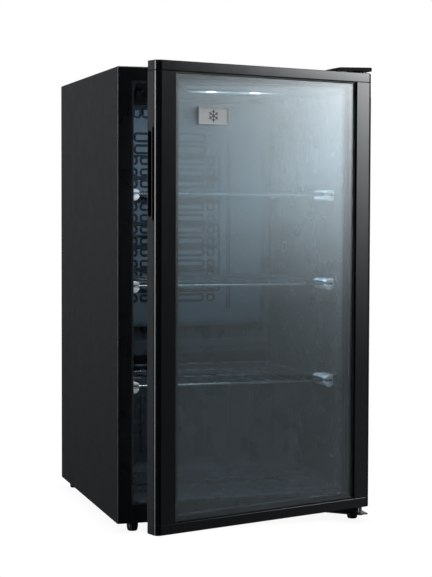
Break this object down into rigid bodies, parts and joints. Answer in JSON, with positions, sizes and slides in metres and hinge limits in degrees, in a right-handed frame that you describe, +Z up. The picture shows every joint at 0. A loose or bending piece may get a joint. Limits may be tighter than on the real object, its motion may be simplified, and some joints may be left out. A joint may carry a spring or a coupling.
{
  "type": "glass door merchandiser",
  "caption": "Upright glass-door beverage merchandiser with a hinged framed glass door, sliding wire shelves, ceiling lamp, plate evaporator and rear compressor bay.",
  "frame": {"origin": "bottom centre of the whole object's box, at floor level, with the door standing ajar as stored", "axes": "+X to the viewer's right, +Y from the door towards the back, +Z up; the front of the cabinet faces -Y"},
  "size_m": [0.4766, 0.6874, 0.8505],
  "materials": {
    "black_steel": "satin black powder coat",
    "galvanised": "bare zinc-coated sheet",
    "liner": "vacuum-formed black plastic, soft satin",
    "foam": "rigid cell foam",
    "evaporator": "dark coated aluminium, satin",
    "zinc_steel": "bright zinc",
    "black_plastic": "fine moulded black",
    "white_plastic": "glossy white",
    "lamp_lens": "frosted, lit cool white",
    "chrome_wire": "bright plated wire",
    "door_frame": "satin black extrusion",
    "glass": "clear, slightly tinted",
    "spacer": "dark anodised",
    "gasket": "soft dark grey",
    "badge": "brushed, blank",
    "compressor_paint": "gloss black enamel",
    "grommet_rubber": "matt",
    "copper": "drawn copper"
  },
  "bodies": {
    "cabinet": {"outer_shell": "black_steel", "back_panel": "galvanised", "base_pan": "black_steel", "inner_liner": "liner", "foam_insulation": "foam", "evaporator_plate": "evaporator", "evaporator_screw_left": "zinc_steel", "evaporator_screw_right": "zinc_steel", "drip_gutter": "liner", "control_housing": "black_plastic", "led_base": "white_plastic", "led_lens": "lamp_lens", "shelf_support_left_1": "white_plastic", "shelf_support_right_1": "white_plastic", "shelf_support_left_2": "white_plastic", "shelf_support_right_2": "white_plastic", "shelf_support_left_3": "white_plastic", "shelf_support_right_3": "white_plastic", "top_hinge_bracket": "zinc_steel", "top_hinge_pin": "zinc_steel", "bottom_hinge_bracket": "zinc_steel", "bottom_hinge_pin": "zinc_steel", "top_hinge_screw_1": "zinc_steel", "top_hinge_screw_2": "zinc_steel", "bottom_hinge_screw_1": "zinc_steel", "bottom_hinge_screw_2": "zinc_steel", "hinge_cover": "black_plastic", "rear_foot_left": "black_plastic", "rear_foot_right": "black_plastic", "compressor": "compressor_paint", "compressor_grommet_left_front": "grommet_rubber", "compressor_grommet_left_rear": "grommet_rubber", "compressor_grommet_right_front": "grommet_rubber", "compressor_grommet_right_rear": "grommet_rubber", "terminal_box": "black_plastic", "evaporation_tray": "black_plastic", "filter_drier": "copper", "condenser_coil": "compressor_paint", "condenser_bracket_left": "galvanised", "condenser_bracket_right": "galvanised", "discharge_tube": "copper", "suction_tube": "copper", "cord_gland": "black_plastic"},
    "door": {"door_left_stile": "door_frame", "door_right_stile": "door_frame", "door_top_rail": "door_frame", "door_bottom_rail": "door_frame", "outer_glass": "glass", "inner_glass": "glass", "glass_spacer": "spacer", "door_inner_frame": "black_plastic", "door_gasket": "gasket", "badge_plate": "badge"},
    "shelf_1": {"wire_shelf_1": "chrome_wire"},
    "shelf_2": {"wire_shelf_2": "chrome_wire"},
    "shelf_3": {"wire_shelf_3": "chrome_wire"},
    "dial": {"thermostat_knob": "black_plastic"},
    "rocker": {"light_switch": "black_plastic"},
    "foot_left": {"leveling_foot_left": "black_plastic"},
    "foot_right": {"leveling_foot_right": "black_plastic"}
  },
  "joints": [
    {"name": "door_hinge", "type": "hinge", "parent": "cabinet", "child": "door", "pos_m": [0.22465, -0.19446, 0.4305], "axis": [0, 0, 1], "range_deg": [-17.1, 90]},
    {"name": "shelf_1_slide", "type": "slide", "parent": "cabinet", "child": "shelf_1", "axis": [0, -1, 0], "range_m": [0, 0.05]},
    {"name": "shelf_2_slide", "type": "slide", "parent": "cabinet", "child": "shelf_2", "axis": [0, -1, 0], "range_m": [0, 0.05]},
    {"name": "shelf_3_slide", "type": "slide", "parent": "cabinet", "child": "shelf_3", "axis": [0, -1, 0], "range_m": [0, 0.05]},
    {"name": "thermostat_dial", "type": "hinge", "parent": "cabinet", "child": "dial", "pos_m": [-0.14644, -0.11096, 0.7958], "axis": [0, -1, 0], "range_deg": [-140, 140]},
    {"name": "light_rocker", "type": "hinge", "parent": "cabinet", "child": "rocker", "pos_m": [-0.18344, -0.10996, 0.7958], "axis": [1, 0, 0], "range_deg": [-16, 0]},
    {"name": "left_foot_turn", "type": "hinge", "parent": "cabinet", "child": "foot_left", "pos_m": [-0.20434, -0.14596, 0], "axis": [0, 0, 1], "continuous": true},
    {"name": "right_foot_turn", "type": "hinge", "parent": "cabinet", "child": "foot_right", "pos_m": [0.22415, -0.15896, 0], "axis": [0, 0, 1], "continuous": true}
  ]
}
